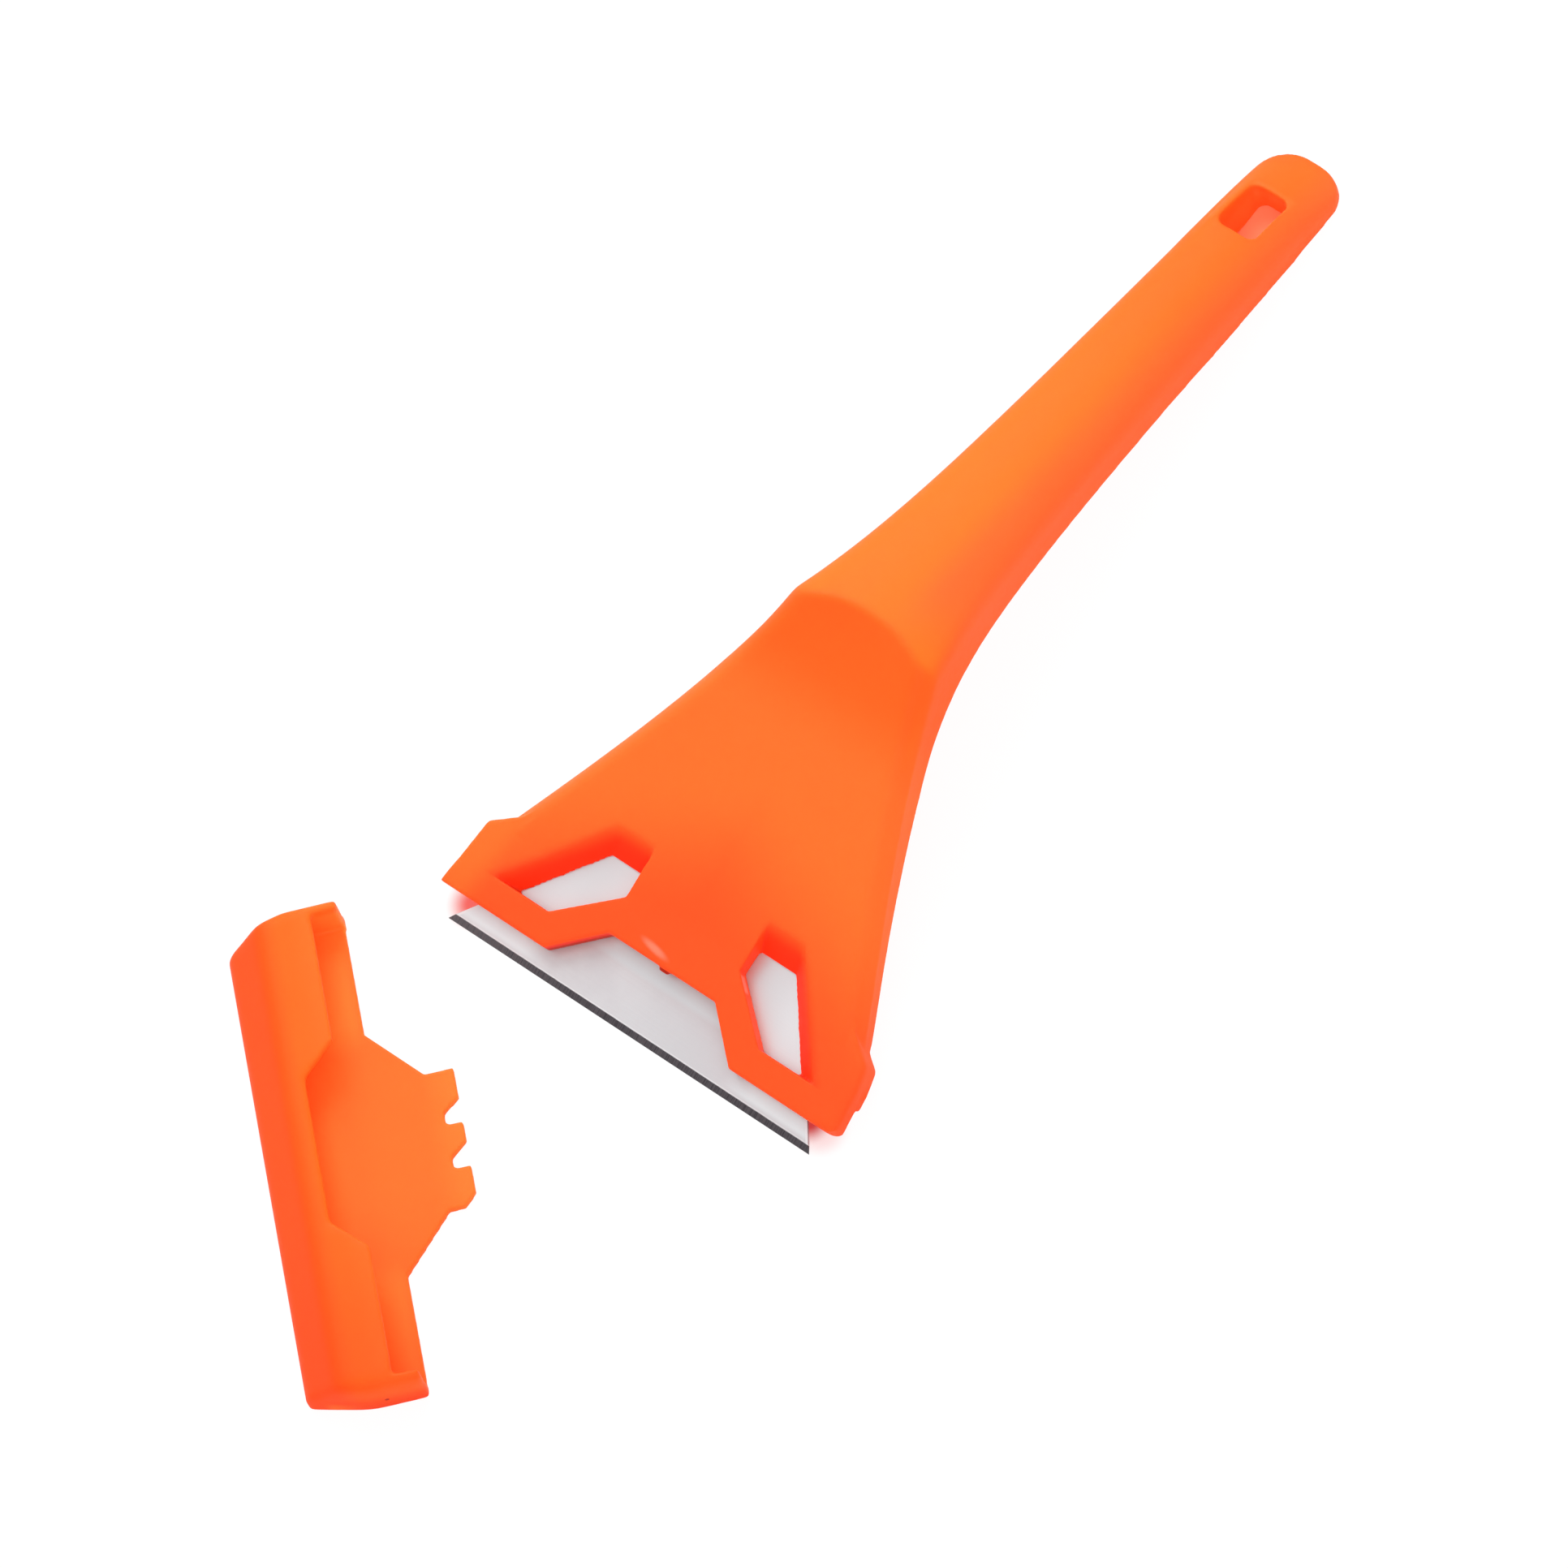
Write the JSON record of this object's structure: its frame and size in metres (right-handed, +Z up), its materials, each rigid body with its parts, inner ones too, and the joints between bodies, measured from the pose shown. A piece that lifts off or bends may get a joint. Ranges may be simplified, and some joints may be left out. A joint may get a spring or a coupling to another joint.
{
  "type": "ceramic hob scraper",
  "caption": "Hand scraper for glass ceramic hobs: moulded plastic handle with a flared head, a trapezoid steel blade in a slot, and its slip-on blade cover lying in front.",
  "frame": {"origin": "middle of the cutting edge, where it touches the table", "axes": "+Y from the blade along the handle, +X along the cutting edge to the right, +Z up from the table"},
  "size_m": [0.0839, 0.2167, 0.0245],
  "materials": {
    "moulded_body": "satin orange moulding",
    "blade_steel": "ground steel with a darker bevel",
    "moulded_cover": "satin orange moulding"
  },
  "bodies": {
    "scraper": {"scraper_body": "moulded_body"},
    "blade": {"blade": "blade_steel"},
    "cover": {"blade_cover": "moulded_cover"}
  },
  "joints": [
    {"name": "blade_slide", "type": "slide", "parent": "scraper", "child": "blade", "axis": [0, -0.969, -0.247], "range_m": [0, 0.022]},
    {"name": "cover_lift", "type": "slide", "parent": "scraper", "child": "cover", "axis": [0, 0, 1], "range_m": [0, 0.06]}
  ]
}
